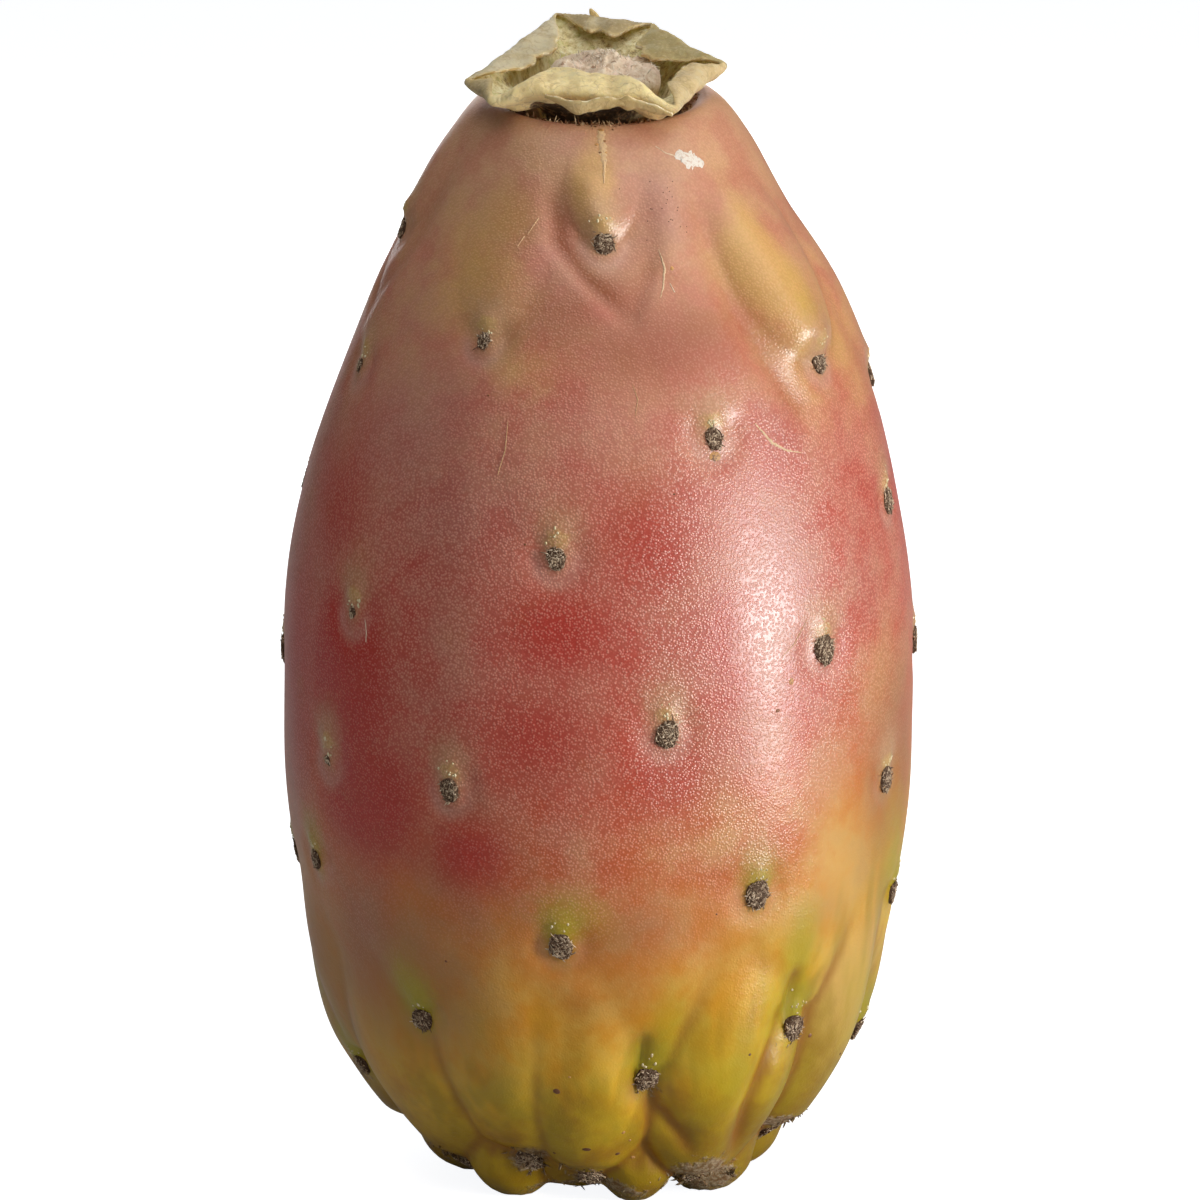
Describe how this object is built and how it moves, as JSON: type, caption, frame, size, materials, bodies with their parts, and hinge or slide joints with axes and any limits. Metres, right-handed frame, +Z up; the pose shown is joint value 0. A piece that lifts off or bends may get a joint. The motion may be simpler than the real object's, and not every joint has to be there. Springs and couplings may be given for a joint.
{
  "type": "prickly pear fruit",
  "caption": "Whole ripe prickly pear fruit standing on its crown, with felted brown areoles and a dried, curled collar of pad skin round the pith at the stem end",
  "frame": {"origin": "on the surface the fruit stands on, under the middle of its box", "axes": "+Z up along the fruit, from the crown to the stem end; -Y is the side that the picture shows; +X to its right"},
  "size_m": [0.0493, 0.0484, 0.0874],
  "materials": {
    "fruit_skin": "satin",
    "dried_skin": "matte",
    "pith": "matte"
  },
  "bodies": {
    "root": {"fruit": "fruit_skin", "stem_collar": "dried_skin", "stem_pith": "pith"}
  },
  "joints": []
}
